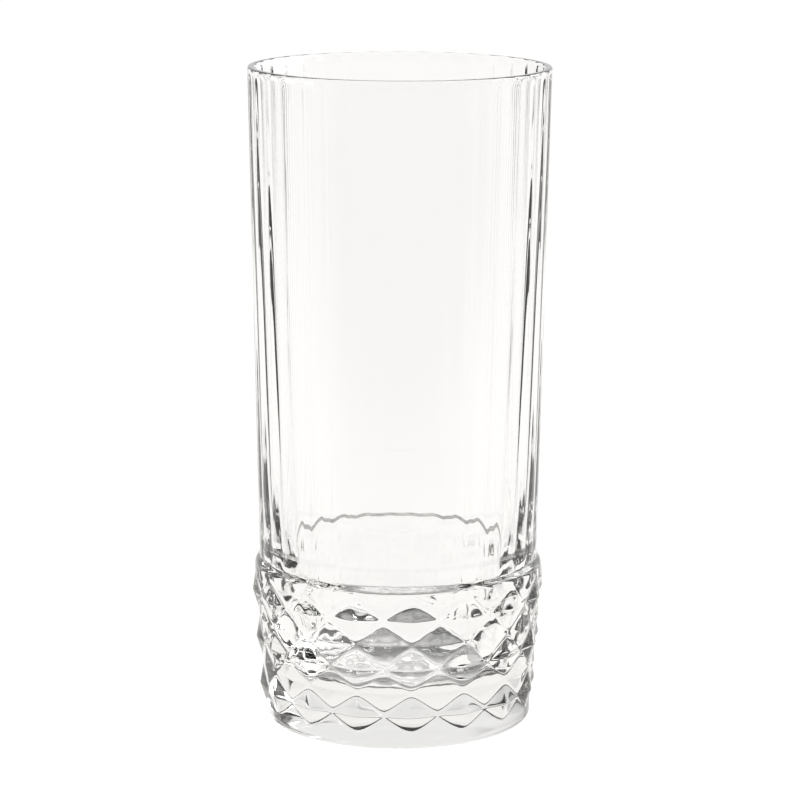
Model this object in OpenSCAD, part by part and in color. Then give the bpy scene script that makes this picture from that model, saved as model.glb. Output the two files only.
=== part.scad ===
// Highball glass: one piece of pressed clear glass, standing on its foot with its axis on Z.
// From the bottom up it has a rounded foot, a band of diamonds in staggered rows that runs up
// into a leaning collar with a rounded shoulder, a tapered wall of shallow upright flutes, and a
// flat lip with melted edges. The wall is thin at the lip and thickens into a heavy base.

/* [Overall] */
// Height from the table to the top of the lip
glass_h = 158; // [130:1:180]
// Outside diameter across the mouth
mouth_d = 72; // [68:0.5:84]
// Outside diameter across the flutes at the waist
waist_d = 67; // [65:0.5:68]
// Height of the waist, where the flutes meet the collar
waist_h = 39.5; // [38.5:0.1:41]

/* [Drinking space] */
// Thickness of the glass at the lip
lip_t = 1.7; // [1.4:0.1:2.6]
// Radius of the lip's melted edges
lip_round = 0.4; // [0.2:0.05:0.6]
// Height down to which the inside wall is straight
bend_h = 67; // [60:1:74]
// Thickness of the wall at the lower end of the straight inside wall
bend_t = 4.6; // [4:0.1:5.2]
// Radius of the long curve by which the inside wall draws in below its straight part
bend_round = 250; // [220:5:320]
// Thickness of the glass under the drink
floor_t = 11.8; // [9:0.1:14]
// Radius of the corner between the inside wall and the floor
floor_round = 7; // [4:0.5:9]

/* [Flutes] */
// Number of flutes round the wall
flute_n = 36; // [30:2:44]
// Radius of the hollow of each flute
flute_round = 18; // [14:0.5:24]
// Width of the crest left between two flutes at their upper ends
flute_land = 0.5; // [0.4:0.1:1.5]
// Width of the crest left between two flutes at their lower ends
flute_low_land = 3; // [1.8:0.1:3.4]
// Height over which a flute fades out at its upper end
flute_fade_h = 2.5; // [0.5:0.1:4]
// Plain height between the flutes' ends and the top of the lip
lip_plain_h = 0.8; // [0.7:0.1:4]

/* [Collar] */
// How far the collar's leaning side stands out past the ridges of the highest row
collar_gap = 0.05; // [0.04:0.01:0.15]
// Height of the collar's shoulder above the upper corners of the highest row
shoulder_rise = 0.65; // [0.4:0.05:1.2]
// Radius by which the shoulder rounds over
shoulder_round = 2; // [1.5:0.1:2.4]

/* [Diamonds] */
// Number of diamonds in each row
diamond_n = 16; // [14:1:18]
// Height of the middle of the lowest row above the table
low_row_h = 8.1; // [7.5:0.1:9]
// Height from the middle of one row to the middle of the next
row_step = 5.85; // [5.5:0.05:6]
// Diameter across the grooves at the lowest row
low_groove_d = 65; // [64.8:0.1:66]
// Diameter across the grooves at the highest row
top_groove_d = 68.4; // [68.3:0.1:69]
// Height of the large diamonds' points above the grooves
large_relief = 1.15; // [0.8:0.05:1.5]
// Height of the small diamonds' points above the grooves
small_relief = 0.45; // [0.2:0.05:0.8]

/* [Foot] */
// Diameter of the plain band under the diamonds
foot_d = 64.6; // [63:0.1:64.7]
// Radius of the foot's lower edge
foot_round = 1.5; // [0.8:0.1:2.5]
// Width of the flat ring that the glass stands on
rest_w = 5; // [3:0.5:10]
// Depth of the shallow hollow under the foot
dish_depth = 0.8; // [0.3:0.1:2]

/* [Hidden] */
$fn = 96;

// Rows of diamonds: large and small in turn, with a large row lowest and highest
row_n = 5;
// Overrun of every cut past the face that it leaves through
over = 1;
// Share of a flute's pitch that its cut may reach across
cut_reach_share = 0.97;
// Height by which the foot band runs past the lowest row's middle
row_lap = 0.5;

mouth_r = mouth_d / 2;
waist_r = waist_d / 2;
foot_r = foot_d / 2;
lip_low_h = glass_h - lip_round;
top_row_h = low_row_h + (row_n - 1) * row_step;
rows_high_h = low_row_h + row_n * row_step;
shoulder_h = rows_high_h + shoulder_rise;
bend_r = wall_r(bend_h) - bend_t;
rest_r = foot_r - foot_round;
dish_r = rest_r - rest_w;

// Radius of the plain wall at height h
function wall_r(h) = waist_r + (mouth_r - waist_r) * (h - waist_h) / (lip_low_h - waist_h);

// Radius of the straight part of the inside wall at height h
function inside_r(h) = bend_r + (mouth_r - lip_t - bend_r) * (h - bend_h) / (lip_low_h - bend_h);

// Radius at which the grooves cross at height h
function groove_r(h) =
    (low_groove_d + (top_groove_d - low_groove_d) * (h - low_row_h) / (top_row_h - low_row_h)) / 2;

// Half the width of a flute where its edges lie at radius r with crests as wide as land
function flute_half_w(r, land) = PI * r / flute_n - land / 2;

// Distance of a flute's axis from the glass's axis where its edges lie at radius r
function flute_axis_r(r, land) =
    sqrt(r ^ 2 - flute_half_w(r, land) ^ 2) + sqrt(flute_round ^ 2 - flute_half_w(r, land) ^ 2);

// Radius of the collar's leaning side at height h, alongside the ridges of the highest row
function side_r(h) =
    groove_r(top_row_h) + large_relief + collar_gap - side_lean() * (h - top_row_h);

// How far the collar's side leans in for each unit of height
function side_lean() =
    (groove_r(top_row_h) + large_relief - groove_r(rows_high_h)) / (rows_high_h - top_row_h);

// Height of level j of the diamonds
function level_h(j) = low_row_h + (j - 1) * row_step;

// How far the points of level j stand out, nothing under the rows
function relief(j) = j < 1 ? 0 : j > row_n || j % 2 == 1 ? large_relief : small_relief;

// Wall with its flutes, solid inside
module fluted_wall() {
    difference() {
        rotate_extrude()
            polygon([
                [0, top_row_h],
                [wall_r(top_row_h), top_row_h],
                [mouth_r, lip_low_h],
                [0, lip_low_h]
            ]);
        for (i = [0 : flute_n - 1])
            rotate([0, 0, i * 360 / flute_n])
                flute();
    }
}

// Hollow of one flute: a leaning round bar that tapers where it fades out under the lip,
// kept between the crests on either side
module flute() {
    low_h = top_row_h - over;
    end_h = glass_h - lip_plain_h - flute_fade_h;
    low_x = flute_axis_r(wall_r(low_h), flute_low_land);
    end_x = flute_axis_r(wall_r(end_h), flute_land);
    depth = wall_r(end_h) - end_x + flute_round;
    bar_l = norm([end_x - low_x, end_h - low_h]);
    reach = cut_reach_share * 180 / flute_n;
    in_r = low_x - flute_round - over;
    out_r = mouth_r + over;
    intersection() {
        translate([low_x, 0, low_h])
            rotate([0, atan2(end_x - low_x, end_h - low_h), 0])
                rotate_extrude()
                    polygon([
                        [0, 0],
                        [flute_round, 0],
                        [flute_round, bar_l],
                        [flute_round - depth, bar_l + flute_fade_h],
                        [0, bar_l + flute_fade_h]
                    ]);
        translate([0, 0, low_h - over])
            linear_extrude(glass_h - low_h)
                polygon([
                    [in_r, -in_r * tan(reach)],
                    [out_r, -out_r * tan(reach)],
                    [out_r, out_r * tan(reach)],
                    [in_r, in_r * tan(reach)]
                ]);
    }
}

// Plain body that the band's diamonds stay within: the collar's side, leaning in up to its
// shoulder, and the shoulder rounding over into the wall
module collar() {
    low_h = -over;
    lean = atan(side_lean());
    middle_h = shoulder_h - shoulder_round * sin(lean);
    middle_x = side_r(shoulder_h) - shoulder_round * cos(lean);
    high_h = middle_h + shoulder_round;
    rotate_extrude() {
        polygon([
            [0, low_h],
            [side_r(low_h), low_h],
            [side_r(shoulder_h), shoulder_h],
            [0, shoulder_h]
        ]);
        translate([0, shoulder_h])
            square([middle_x, high_h - shoulder_h]);
        intersection() {
            translate([middle_x, middle_h])
                circle(r = shoulder_round);
            translate([0, shoulder_h])
                square([side_r(shoulder_h), high_h - shoulder_h]);
        }
    }
}

// Rows of diamonds: each is a four-sided pyramid between four crossings of the grooves. Over the
// rows the points run on upwards, past the collar's side, so that the grooves end in the collar.
module diamonds() {
    columns = 2 * diamond_n;
    levels = row_n + 2;
    points = [
        for (j = [0 : levels], i = [0 : columns - 1])
            let (
                is_point = (i + j) % 2 == 1 || j == levels,
                r = groove_r(level_h(j)) + (is_point ? relief(j) : 0),
                turn = i * 360 / columns - 90
            )
            [r * cos(turn), r * sin(turn), level_h(j)]
    ];
    sides = [
        for (j = [0 : levels - 1], i = [0 : columns - 1])
            let (
                a = j * columns + i,
                b = j * columns + (i + 1) % columns,
                c = b + columns,
                d = a + columns
            )
            each (i + j) % 2 == 0 ? [[a, c, b], [a, d, c]] : [[a, d, b], [b, d, c]]
    ];
    underside = [for (i = [0 : columns - 1]) i];
    topside = [for (i = [columns - 1 : -1 : 0]) i + levels * columns];
    polyhedron(points, concat([underside], sides, [topside]));
}

// Band of diamonds with the collar over it
module pressed_band() {
    intersection() {
        diamonds();
        collar();
    }
}

// Plain band under the diamonds, with the rounded edge that the glass stands on
module foot() {
    dish_round = (dish_r ^ 2 + dish_depth ^ 2) / (2 * dish_depth);
    difference() {
        rotate_extrude() {
            square([rest_r, low_row_h - row_lap]);
            translate([0, foot_round])
                square([foot_r, low_row_h - row_lap - foot_round]);
            translate([rest_r, foot_round])
                circle(r = foot_round);
        }
        translate([0, 0, dish_depth - dish_round])
            sphere(r = dish_round);
    }
}

// Drinking space, open through the mouth: straight down to the bend, then drawn in by a long
// curve, and rounded into the flat floor
module drinking_space() {
    high_h = glass_h + over;
    bend_lean = atan((inside_r(high_h) - bend_r) / (high_h - bend_h));
    bend_z = bend_h + bend_round * sin(bend_lean);
    bend_x = bend_r - bend_round * cos(bend_lean);
    corner_h = floor_t + floor_round;
    corner_x = bend_x + sqrt((bend_round - floor_round) ^ 2 - (bend_z - corner_h) ^ 2);
    meet_h = corner_h - floor_round * (bend_z - corner_h) / (bend_round - floor_round);
    rotate_extrude() {
        polygon([
            [0, bend_h],
            [bend_r, bend_h],
            [inside_r(high_h), high_h],
            [0, high_h]
        ]);
        intersection() {
            translate([bend_x, bend_z])
                circle(r = bend_round);
            translate([0, meet_h])
                square([mouth_r, bend_h - meet_h]);
        }
        translate([0, floor_t])
            square([corner_x, meet_h - floor_t]);
        intersection() {
            translate([corner_x, corner_h])
                circle(r = floor_round);
            square([mouth_r, meet_h]);
        }
    }
}

// Flat lip of the mouth, its two edges melted round
module lip() {
    edge_x = mouth_r - lip_round;
    inner_x = mouth_r - lip_t + lip_round;
    rotate_extrude() {
        for (x = [edge_x, inner_x])
            translate([x, lip_low_h])
                circle(r = lip_round);
        translate([inner_x, lip_low_h])
            square([edge_x - inner_x, lip_round]);
    }
}

module tumbler() {
    color([0.92, 0.95, 0.95, 0.35]) {
        difference() {
            union() {
                fluted_wall();
                pressed_band();
                foot();
            }
            drinking_space();
        }
        lip();
    }
}

tumbler();
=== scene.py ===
"""Looks of a tall pressed-glass tumbler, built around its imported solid."""
import math

import bpy
import numpy as np
from mathutils import Matrix, Vector


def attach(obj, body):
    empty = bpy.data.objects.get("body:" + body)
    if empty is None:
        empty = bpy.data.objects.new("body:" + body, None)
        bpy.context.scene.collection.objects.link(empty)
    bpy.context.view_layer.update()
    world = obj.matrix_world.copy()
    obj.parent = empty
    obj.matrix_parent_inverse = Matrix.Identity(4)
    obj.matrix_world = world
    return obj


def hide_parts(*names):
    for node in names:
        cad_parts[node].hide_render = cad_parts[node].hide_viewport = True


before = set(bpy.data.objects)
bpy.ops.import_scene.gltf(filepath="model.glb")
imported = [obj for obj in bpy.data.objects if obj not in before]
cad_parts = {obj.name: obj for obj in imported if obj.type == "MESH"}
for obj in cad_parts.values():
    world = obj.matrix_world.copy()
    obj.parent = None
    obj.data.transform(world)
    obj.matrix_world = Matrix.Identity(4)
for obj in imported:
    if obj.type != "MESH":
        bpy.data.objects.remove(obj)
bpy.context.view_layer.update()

# The tumbler
# One piece of clear pressed glass. Its plain form is turned here as on a lathe, and the flutes and
# diamonds are then pressed into it, as the mould presses the hot glass. A flame melts the lip
# round, the plunger leaves the inside smooth, and the cool mould leaves a faint mottle.
GLASS_H = 0.158
MOUTH_R = 0.036
WAIST_R = 0.0335
WAIST_H = 0.0395
LIP_T = 0.0017
LIP_ROUND = 0.0004
BEND_H = 0.067
BEND_T = 0.0046
BEND_ROUND = 0.25
FLOOR_T = 0.0118
FLOOR_ROUND = 0.007

# Flutes, their crests slightly softened, and the overrun of their lower ends into the band
FLUTE_N = 36
FLUTE_ROUND = 0.018
FLUTE_LAND = 0.0005
FLUTE_LOW_LAND = 0.003
FLUTE_OVER = 0.001
FLUTE_FADE_H = 0.0025
LIP_PLAIN_H = 0.0008
CREST_SOFT = 0.00004

# Collar, with the softness of its edges and of the cove where the wall stands on it, and the slope
# at which its radius falls off over the shoulder
COLLAR_GAP = 0.00005
COLLAR_FALL = 4
SHOULDER_RISE = 0.00065
SHOULDER_ROUND = 0.002
EDGE_SOFT = 0.0001
COVE_SOFT = 0.0006

# Diamonds, with the shares of a diamond that its rounded point and soft edges take up
DIAMOND_N = 16
ROW_N = 5
LOW_ROW_H = 0.0081
ROW_STEP = 0.00585
LOW_GROOVE_R = 0.0325
TOP_GROOVE_R = 0.0342
LARGE_RELIEF = 0.00115
SMALL_RELIEF = 0.00045
POINT_ROUND_SHARE = 0.2
GROOVE_SOFT_SHARE = 0.09

FOOT_R = 0.0323
FOOT_ROUND = 0.0015
REST_W = 0.005
DISH_DEPTH = 0.0008

# Columns round the glass, and rings of the lathe, close together only where the shape needs them
COLUMNS = 576
ROWS_A_STEP = 16
COVE_ROW_H, COVE_HIGH_H = 0.00025, 0.0422
WALL_RINGS = (0.044, 0.07, 0.1, 0.13)
INSIDE_RINGS = (0.14, 0.1)
FADE_GAP_H = 0.001
DISH_SHARES = (0, 0.35, 0.7, 1)
REST_SHARE = 0.05
FLOOR_SHARE = 0.6
FOOT_STEPS, FADE_STEPS, LIP_STEPS, BEND_STEPS, CORNER_STEPS = 5, 6, 4, 9, 8
MERGE = 1e-7

# Margins by which the points on the outside are told from the others
TOUCH = 1e-6
WITHIN_WALL = 0.0005

GLASS_TINT = (0.72, 0.71, 0.68, 1)
GLASS_DENSITY = 10.0
GLASS_INDEX = 1.51
GRAIN_SCALE, GRAIN_ROUGHNESS = 1400.0, 0.004
RIPPLE_SCALE = 90.0
MOTTLE_SCALE, MOTTLE = 300.0, 8.0
MOTTLE_LOW_H, MOTTLE_HIGH_H, MOTTLE_SOFT_H = 0.0165, 0.031, 0.004
SKIN_STRENGTH, SKIN_DEPTH = 0.05, 0.0002

lip_low_h = GLASS_H - LIP_ROUND
fade_high_h = GLASS_H - LIP_PLAIN_H
fade_low_h = GLASS_H - LIP_PLAIN_H - FLUTE_FADE_H
top_row_h = LOW_ROW_H + (ROW_N - 1) * ROW_STEP
band_low_h = LOW_ROW_H - ROW_STEP
band_high_h = LOW_ROW_H + ROW_N * ROW_STEP
shoulder_h = band_high_h + SHOULDER_RISE
flute_low_h = top_row_h - FLUTE_OVER
rest_r = FOOT_R - FOOT_ROUND
dish_r = rest_r - REST_W
dish_round = (dish_r ** 2 + DISH_DEPTH ** 2) / (2 * DISH_DEPTH)


def wall_r(h):
    """Radius of the plain wall at height h."""
    rise = (h - WAIST_H) / (lip_low_h - WAIST_H)
    return WAIST_R + (MOUTH_R - WAIST_R) * rise


bend_r = wall_r(BEND_H) - BEND_T
bend_slope = (MOUTH_R - LIP_T - bend_r) / (lip_low_h - BEND_H)
bend_lean = math.atan(bend_slope)
bend_mid_h = BEND_H + BEND_ROUND * math.sin(bend_lean)
bend_mid_r = bend_r - BEND_ROUND * math.cos(bend_lean)


def inside_r(h):
    """Radius of the drinking space at height h: straight, then drawn in by a long curve."""
    straight = bend_r + bend_slope * (h - BEND_H)
    curved = bend_mid_r + np.sqrt(BEND_ROUND ** 2 - np.minimum(h - bend_mid_h, 0) ** 2)
    return np.where(h > BEND_H, straight, curved)


def soft_max(a, b, soft):
    """The larger of two radii, with their corner rounded over the length soft."""
    return (a + b + np.sqrt((a - b) ** 2 + soft ** 2)) / 2


def soft_min(a, b, soft):
    """The smaller of two radii, with their corner rounded over the length soft."""
    return -soft_max(-a, -b, soft)


def flute_axis_r(r, land):
    """Radius at which a flute's axis stands, where at radius r the crests are land wide."""
    half_w = math.pi * r / FLUTE_N - land / 2
    return math.sqrt(r ** 2 - half_w ** 2) + math.sqrt(FLUTE_ROUND ** 2 - half_w ** 2)


def flute_r(turn, h):
    """Outside radius of the fluted wall: round hollows that fade out under the lip."""
    plain = wall_r(h)
    low_r = flute_axis_r(wall_r(flute_low_h), FLUTE_LOW_LAND)
    high_r = flute_axis_r(wall_r(fade_low_h), FLUTE_LAND)
    axis = low_r + (high_r - low_r) * (h - flute_low_h) / (fade_low_h - flute_low_h)
    fade = np.clip((h - fade_low_h) / FLUTE_FADE_H, 0, 1)
    axis = axis + (1 - np.sqrt(1 - fade ** 2)) * (plain - axis + FLUTE_ROUND)
    phase = turn * FLUTE_N / (2 * math.pi)
    off = (phase - np.round(phase)) * 2 * math.pi / FLUTE_N
    hollow = axis * np.cos(off) - np.sqrt(FLUTE_ROUND ** 2 - (axis * np.sin(off)) ** 2)
    return soft_min(plain, hollow, CREST_SOFT)


def groove_r(h):
    """Radius of the grooves between the diamonds at height h."""
    return LOW_GROOVE_R + (TOP_GROOVE_R - LOW_GROOVE_R) * (h - LOW_ROW_H) / (top_row_h - LOW_ROW_H)


side_lean = (groove_r(top_row_h) + LARGE_RELIEF - groove_r(band_high_h)) / ROW_STEP


def side_r(h):
    """Radius of the collar's leaning side at height h."""
    return groove_r(top_row_h) + LARGE_RELIEF + COLLAR_GAP - side_lean * (h - top_row_h)


def collar_r(h):
    """Radius of the collar: its leaning side, its rounded shoulder, and nearly nothing over that."""
    lean = math.atan(side_lean)
    middle_h = shoulder_h - SHOULDER_ROUND * math.sin(lean)
    middle_r = side_r(shoulder_h) - SHOULDER_ROUND * math.cos(lean)
    up = np.clip((h - middle_h) / SHOULDER_ROUND, 0, 1)
    shoulder = middle_r + SHOULDER_ROUND * np.sqrt(1 - up ** 2)
    shoulder = shoulder - COLLAR_FALL * np.maximum(h - middle_h - SHOULDER_ROUND, 0)
    return np.where(h < shoulder_h, side_r(h), shoulder)


def diamond_r(turn, h):
    """Radius of the diamond band: rows of four-sided points, staggered, between rounded grooves."""
    level = (h - LOW_ROW_H) / ROW_STEP + 1
    column = (turn + math.pi / 2) * DIAMOND_N / math.pi
    relief = np.zeros_like(h)
    # From a diamond's middle, across and up reach 1 at its corners, and its inset is 0 at its edges.
    # The row past the highest one has lower halves only, and its points run on up into the collar.
    for row in range(1, ROW_N + 2):
        up = np.abs(level - row) if row <= ROW_N else np.maximum(row - level, 0)
        across = column - (row + 1) % 2
        across = np.abs(across - 2 * np.round(across / 2))
        inset = 1 - np.sqrt(across ** 2 + POINT_ROUND_SHARE ** 2) - up
        inset = soft_max(inset, 0, GROOVE_SOFT_SHARE) / (1 - POINT_ROUND_SHARE)
        full = LARGE_RELIEF if row % 2 == 1 or row > ROW_N else SMALL_RELIEF
        relief = np.maximum(relief, full * np.where((up < 1) | (level > ROW_N + 1), inset, 0))
    return groove_r(h) + relief


def pressed_r(turn, h):
    """Outside radius of the finished glass, from the foot to the upper ends of the flutes."""
    band = np.where(h > band_low_h, diamond_r(turn, h), 0)
    band = np.where(h > top_row_h, soft_min(band, collar_r(h), EDGE_SOFT), band)
    foot = np.where(h < LOW_ROW_H, FOOT_R, 0)
    lower = np.maximum(band, foot)
    return np.where(h > top_row_h, soft_max(lower, flute_r(turn, h), COVE_SOFT), lower)


def arc(middle_r, middle_h, size, start, end, steps):
    """Points along a round stretch of the outline, between two angles: 0 is out, a quarter is up."""
    angles = [start + (end - start) * k / steps for k in range(steps + 1)]
    return [(middle_r + size * math.cos(a), middle_h + size * math.sin(a)) for a in angles]


# The outline runs from the middle of the dish, out and up the outside, and down the inside
quarter = math.pi / 2
outline = [(dish_r * share, DISH_DEPTH - dish_round + math.sqrt(dish_round ** 2 - (dish_r * share) ** 2))
           for share in DISH_SHARES]
outline.append((dish_r + REST_W * REST_SHARE, 0))
outline += arc(rest_r, FOOT_ROUND, FOOT_ROUND, -quarter, 0, FOOT_STEPS)
for k in range((ROW_N + 1) * ROWS_A_STEP + 1):
    outline.append((FOOT_R, band_low_h + k * ROW_STEP / ROWS_A_STEP))
for h in np.arange(band_high_h + COVE_ROW_H, COVE_HIGH_H, COVE_ROW_H):
    outline.append((WAIST_R, float(h)))
for h in WALL_RINGS + (fade_low_h - FADE_GAP_H,):
    outline.append((wall_r(h), h))
for k in range(FADE_STEPS + 1):
    outline.append((MOUTH_R, fade_low_h + FLUTE_FADE_H * k / FADE_STEPS))
outline += arc(MOUTH_R - LIP_ROUND, lip_low_h, LIP_ROUND, 0, quarter, LIP_STEPS)
outline += arc(MOUTH_R - LIP_T + LIP_ROUND, lip_low_h, LIP_ROUND, quarter, 2 * quarter, LIP_STEPS)
corner_h = FLOOR_T + FLOOR_ROUND
corner_r = bend_mid_r + math.sqrt((BEND_ROUND - FLOOR_ROUND) ** 2 - (bend_mid_h - corner_h) ** 2)
corner_lean = math.asin((bend_mid_h - corner_h) / (BEND_ROUND - FLOOR_ROUND))
meet_h = corner_h - FLOOR_ROUND * math.sin(corner_lean)
for h in INSIDE_RINGS + tuple(np.linspace(BEND_H, meet_h, BEND_STEPS + 1)):
    outline.append((float(inside_r(h)), float(h)))
outline += arc(corner_r, corner_h, FLOOR_ROUND, -corner_lean, -quarter, CORNER_STEPS)[1:]
outline += [(corner_r * FLOOR_SHARE, FLOOR_T), (0, FLOOR_T)]

bpy.ops.object.select_all(action="DESELECT")
last_r, last_h = outline[0]
bpy.ops.mesh.primitive_plane_add(size=REST_W, location=(last_r, 0, last_h))
tumbler = bpy.context.object
tumbler.name = "tumbler_glass"
bpy.ops.object.transform_apply(location=True)
bpy.ops.object.mode_set(mode="EDIT")
bpy.ops.mesh.select_mode(type="VERT")
bpy.ops.mesh.select_all(action="SELECT")
bpy.ops.mesh.merge(type="CENTER")
for r, h in outline[1:]:
    bpy.ops.mesh.extrude_vertices_move(TRANSFORM_OT_translate={"value": (r - last_r, 0, h - last_h)})
    last_r, last_h = r, h
bpy.ops.object.mode_set(mode="OBJECT")
lathe = tumbler.modifiers.new("lathe", "SCREW")
lathe.axis = "Z"
lathe.steps = COLUMNS
lathe.render_steps = COLUMNS
lathe.use_merge_vertices = True
lathe.merge_threshold = MERGE
bpy.ops.object.modifier_apply(modifier="lathe")
bpy.ops.object.mode_set(mode="EDIT")
bpy.ops.mesh.select_all(action="SELECT")
bpy.ops.mesh.normals_make_consistent(inside=False)
bpy.ops.object.mode_set(mode="OBJECT")

# The mould presses every point on the outside, between the foot's rounded edge and the lip's
mesh = tumbler.data
points = np.zeros(len(mesh.vertices) * 3)
mesh.vertices.foreach_get("co", points)
points = points.reshape(-1, 3)
far = np.hypot(points[:, 0], points[:, 1])
up = points[:, 2]
outer = far > inside_r(up) + WITHIN_WALL
pressed = outer & (up > band_low_h - TOUCH) & (up < fade_high_h + TOUCH)
turn = np.arctan2(points[pressed, 1], points[pressed, 0])
new_r = pressed_r(turn, up[pressed])
points[pressed, 0] = new_r * np.cos(turn)
points[pressed, 1] = new_r * np.sin(turn)
mesh.vertices.foreach_set("co", points.ravel())
mesh.update()
bpy.ops.object.shade_smooth()


class Value:
    """A socket in a shader, so that shader maths reads as plain sums."""

    def __init__(self, paint, socket):
        self.paint = paint
        self.socket = socket

    def __add__(self, other):
        return self.paint.node("ShaderNodeMath", {"operation": "ADD"}, (self, other))

    __radd__ = __add__

    def __mul__(self, other):
        return self.paint.node("ShaderNodeMath", {"operation": "MULTIPLY"}, (self, other))

    __rmul__ = __mul__

    def __sub__(self, other):
        return self.paint.node("ShaderNodeMath", {"operation": "SUBTRACT"}, (self, other))

    def __rsub__(self, other):
        return self.paint.node("ShaderNodeMath", {"operation": "SUBTRACT"}, (other, self))

    def ramp(self, start, end, low, high):
        """Goes smoothly from low to high while this value goes from start to end."""
        return self.paint.node("ShaderNodeMapRange", {"interpolation_type": "SMOOTHSTEP"}, {
            "Value": self, "From Min": start, "From Max": end, "To Min": low, "To Max": high})


class Paint:
    """The shader nodes of one material, or of the world."""

    def __init__(self, owner):
        owner.use_nodes = True
        self.tree = owner.node_tree
        self.tree.nodes.clear()

    def node(self, kind, settings=None, values=(), output=0):
        """Adds a node of a kind, sets its settings first, then its sockets, and gives one output."""
        made = self.tree.nodes.new(kind)
        for name, value in (settings or {}).items():
            setattr(made, name, value)
        pairs = values.items() if isinstance(values, dict) else enumerate(values)
        for name, value in pairs:
            if isinstance(value, Value):
                self.tree.links.new(value.socket, made.inputs[name])
            else:
                made.inputs[name].default_value = value
        return Value(self, made.outputs[output]) if made.outputs else None


# A fine grain in the gloss, a slow ripple all over, and the mottle on the middle rows
clear_glass = bpy.data.materials.new("clear_pressed_glass")
clear = Paint(clear_glass)
where = clear.node("ShaderNodeTexCoord", output="Object")
height = clear.node("ShaderNodeSeparateXYZ", values=(where,), output="Z")
grain = clear.node("ShaderNodeTexNoise", values={"Vector": where, "Scale": GRAIN_SCALE, "Detail": 2.0})
ripple = clear.node("ShaderNodeTexNoise", values={"Vector": where, "Scale": RIPPLE_SCALE, "Detail": 1.0})
chill = clear.node("ShaderNodeTexNoise", values={"Vector": where, "Scale": MOTTLE_SCALE, "Detail": 1.0})
chilled = (height.ramp(MOTTLE_LOW_H - MOTTLE_SOFT_H, MOTTLE_LOW_H, 0.0, 1.0)
           * height.ramp(MOTTLE_HIGH_H, MOTTLE_HIGH_H + MOTTLE_SOFT_H, 1.0, 0.0))
skin = clear.node("ShaderNodeBump", values={
    "Strength": SKIN_STRENGTH, "Distance": SKIN_DEPTH, "Height": ripple + MOTTLE * chilled * chill})
glass = clear.node("ShaderNodeBsdfPrincipled", values={
    "Base Color": (1, 1, 1, 1), "Roughness": GRAIN_ROUGHNESS * grain, "IOR": GLASS_INDEX,
    "Transmission Weight": 1.0, "Normal": skin})
tint = clear.node("ShaderNodeVolumeAbsorption", values={"Color": GLASS_TINT, "Density": GLASS_DENSITY})
clear.node("ShaderNodeOutputMaterial", values={"Surface": glass, "Volume": tint})
tumbler.data.materials.append(clear_glass)
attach(tumbler, "root")
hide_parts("tumbler")

# The table
# A wide, plain table top of a dark colour, made white by painted light: an emission that stands in
# for the light falling on it. It darkens towards the camera and to the sides as painted shade, has a
# painted shadow under the glass, spotted and darkest along the outer ring, and a slightly brighter
# painted ring of light just round the foot.
TABLE_SIZE = 12.0
TABLE_GAP = 0.0002
TABLE_COLOR = (0.06, 0.06, 0.06, 1)
TABLE_ROUGHNESS = 0.9
# Colour of the painted light that makes the table top white
TABLE_PAINTED_LIGHT = (1.01, 1.0, 0.984)
# Painted shade: the painted light falls off to these shares towards the camera and to the left and right
FRONT_FROM, FRONT_TO, FRONT_PAINTED_SHADE = -0.32, -0.08, 0.45
LEFT_FROM, LEFT_TO, LEFT_PAINTED_SHADE = -1.2, -0.35, 0.75
RIGHT_FROM, RIGHT_TO, RIGHT_PAINTED_SHADE = 0.9, 2.4, 0.75
# Painted shadow under the glass, lighter in the middle, darkest along the outer ring and broken by spots;
# just outside the foot a painted ring of light fades out by GATHER_R
MIDDLE_R, RING_LOW_R, RING_HIGH_R, RING_END_R, GATHER_R = 0.012, 0.021, 0.0285, 0.0318, 0.08
MIDDLE_PAINTED_SHADOW, RING_PAINTED_SHADOW, GATHER_PAINTED_LIGHT = 0.93, 0.4, 1.1
SPOT_SCALE, SPOT_TWIST, SPOT_FROM, SPOT_TO, SHADOW_SPOT_SWING = 300.0, 1.5, 0.3, 0.7, 0.45

bpy.ops.object.select_all(action="DESELECT")
bpy.ops.mesh.primitive_plane_add(size=TABLE_SIZE, location=(0, 0, -TABLE_GAP))
table = bpy.context.object
table.name = "white_table"
white_top = bpy.data.materials.new("white_table_top")
top = Paint(white_top)
place = top.node("ShaderNodeTexCoord", output="Object")
east = top.node("ShaderNodeSeparateXYZ", values=(place,), output="X")
north = top.node("ShaderNodeSeparateXYZ", values=(place,), output="Y")
away = top.node("ShaderNodeVectorMath", {"operation": "LENGTH"}, (place,), output="Value")
# Painted shade towards the camera and to the sides
painted_shade_front_and_sides = (north.ramp(FRONT_FROM, FRONT_TO, FRONT_PAINTED_SHADE, 1.0)
             * east.ramp(LEFT_FROM, LEFT_TO, LEFT_PAINTED_SHADE, 1.0)
             * east.ramp(RIGHT_FROM, RIGHT_TO, 1.0, RIGHT_PAINTED_SHADE))
# Painted shadow under the glass, broken up by painted spots
painted_shadow_under_glass = away.ramp(MIDDLE_R, RING_LOW_R, MIDDLE_PAINTED_SHADOW, RING_PAINTED_SHADOW)
shadow_spots = top.node("ShaderNodeTexNoise", values={
    "Vector": place, "Scale": SPOT_SCALE, "Detail": 2.0, "Distortion": SPOT_TWIST})
spotted_painted_shadow = painted_shadow_under_glass * shadow_spots.ramp(SPOT_FROM, SPOT_TO, 1.0 - SHADOW_SPOT_SWING, 1.0 + SHADOW_SPOT_SWING)
outside = away.ramp(RING_HIGH_R, RING_END_R, 0.0, 1.0)
# Painted light, slightly brighter just round the foot and fading out further away
painted_light_round_foot = away.ramp(RING_END_R, GATHER_R, GATHER_PAINTED_LIGHT, 1.0)
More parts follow.
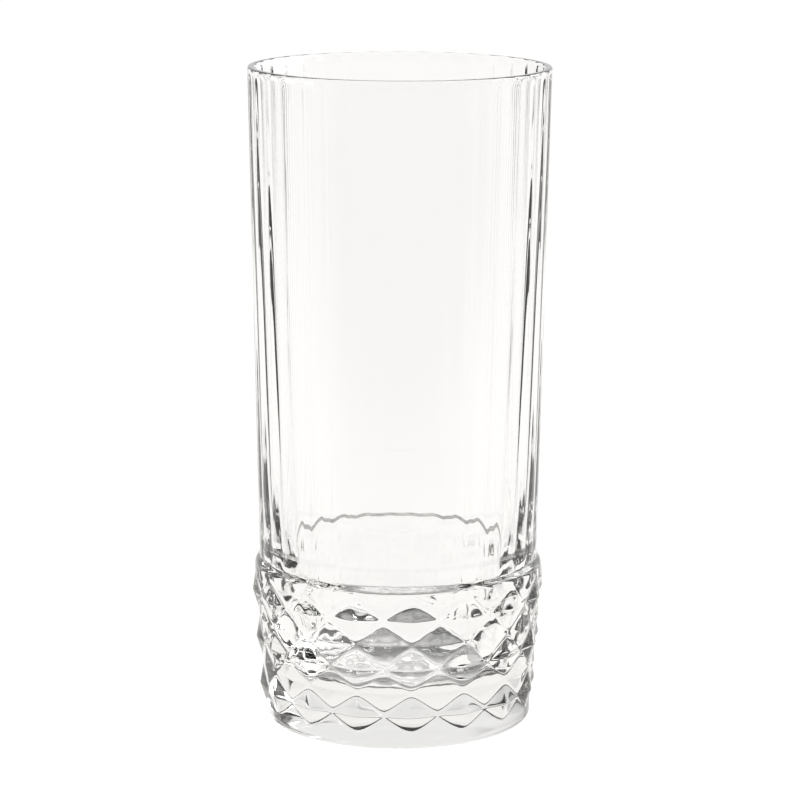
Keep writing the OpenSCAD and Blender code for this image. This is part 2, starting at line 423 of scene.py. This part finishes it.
# The table's emission: painted light, with its painted shade and painted shadow
painted_light = painted_shade_front_and_sides * (spotted_painted_shadow + outside * (painted_light_round_foot - spotted_painted_shadow))
painted_light_color = top.node("ShaderNodeVectorMath", {"operation": "SCALE"}, {"Vector": TABLE_PAINTED_LIGHT, "Scale": painted_light},
                      output="Vector")
face = top.node("ShaderNodeBsdfPrincipled", values={
    "Base Color": TABLE_COLOR, "Roughness": TABLE_ROUGHNESS, "Specular IOR Level": 0.0,
    "Emission Color": painted_light_color, "Emission Strength": 1.0})
top.node("ShaderNodeOutputMaterial", values={"Surface": face})
table.data.materials.append(white_top)

# The studio
# Soft light from all round, darker behind the camera, overhead and on the left, and one upright
# soft box on the right. Light is followed through the glass's faces only so many times, so that
# its thick edges go dark, as they do in a real glass that isn't quite clean and clear.
CAMERA_TURN = math.radians(5.4)
HIGH_FROM, HIGH_TO, OVER_LIGHT = 0.5, 0.8, 0.05
BEHIND_FROM, BEHIND_TO, BEHIND_LIGHT = -0.6, 0.0, 0.2
SIDE_FROM, SIDE_TO, SIDE_LIGHT = -0.9, -0.3, 0.4
LIGHT_BOUNCES = 14
REFLECTION_BOUNCES = 6
SOFT_BOX_W, SOFT_BOX_H, SOFT_BOX_POWER = 0.15, 0.5, 1.2
SOFT_BOX_TURN = math.radians(106)
SOFT_BOX_AWAY, SOFT_BOX_UP = 0.4, 0.25

world = bpy.data.worlds.new("studio")
bpy.context.scene.world = world
studio = Paint(world)
aim = studio.node("ShaderNodeTexCoord", output="Generated")
aim_x = studio.node("ShaderNodeSeparateXYZ", values=(aim,), output="X")
aim_y = studio.node("ShaderNodeSeparateXYZ", values=(aim,), output="Y")
aim_z = studio.node("ShaderNodeSeparateXYZ", values=(aim,), output="Z")
light = (aim_z.ramp(HIGH_FROM, HIGH_TO, 1.0, OVER_LIGHT)
         * aim_y.ramp(BEHIND_FROM, BEHIND_TO, BEHIND_LIGHT, 1.0)
         * aim_x.ramp(SIDE_FROM, SIDE_TO, SIDE_LIGHT, 1.0))
air = studio.node("ShaderNodeBackground", values={"Color": (1, 1, 1, 1), "Strength": light})
studio.node("ShaderNodeOutputWorld", values={"Surface": air})
bpy.context.scene.view_settings.view_transform = "Standard"
bpy.context.scene.cycles.max_bounces = LIGHT_BOUNCES
bpy.context.scene.cycles.transmission_bounces = LIGHT_BOUNCES
bpy.context.scene.cycles.glossy_bounces = REFLECTION_BOUNCES

box_data = bpy.data.lights.new("right_soft_box", "AREA")
box_data.shape = "RECTANGLE"
box_data.size = SOFT_BOX_W
box_data.size_y = SOFT_BOX_H
box_data.energy = SOFT_BOX_POWER
soft_box = bpy.data.objects.new("right_soft_box", box_data)
box_turn = SOFT_BOX_TURN - quarter - CAMERA_TURN
box_way = Vector((math.cos(box_turn), math.sin(box_turn), 0))
soft_box.location = SOFT_BOX_AWAY * box_way + Vector((0, 0, SOFT_BOX_UP))
soft_box.rotation_euler = (-box_way).to_track_quat("-Z", "Z").to_euler()
bpy.context.scene.collection.objects.link(soft_box)

# The camera
# It stands where the photograph was taken from: a little above the lip, well back, and turned a
# little round the glass. Its place is given in lengths of which the mouth's radius has
# FIT_MOUTH_R.
PICTURE_W = 800
FOCAL_W = 3310.17
SENSOR_W = 36
CAMERA_REACH = 100
FIT_MOUTH_R = 35.7648
CAMERA_SIDE, CAMERA_BACK, CAMERA_UP = -2.82573, 775.576, 233.361
CAMERA_YAW, CAMERA_PITCH, CAMERA_ROLL = -0.00405670, 0.198875, -0.00376700

camera_data = bpy.data.cameras.new("camera")
camera_data.lens = FOCAL_W / PICTURE_W * SENSOR_W
camera_data.sensor_width = SENSOR_W
camera_data.clip_end = CAMERA_REACH
camera = bpy.data.objects.new("camera", camera_data)
bpy.context.scene.collection.objects.link(camera)
fit = MOUTH_R / FIT_MOUTH_R
round_glass = Matrix.Rotation(-CAMERA_TURN, 4, "Z")
stand = round_glass @ Vector((CAMERA_SIDE * fit, -CAMERA_BACK * fit, CAMERA_UP * fit))
camera.matrix_world = (Matrix.Translation(stand) @ round_glass @ Matrix.Rotation(CAMERA_YAW, 4, "Z")
                       @ Matrix.Rotation(quarter - CAMERA_PITCH, 4, "X")
                       @ Matrix.Rotation(-CAMERA_ROLL, 4, "Z"))
bpy.context.scene.camera = camera
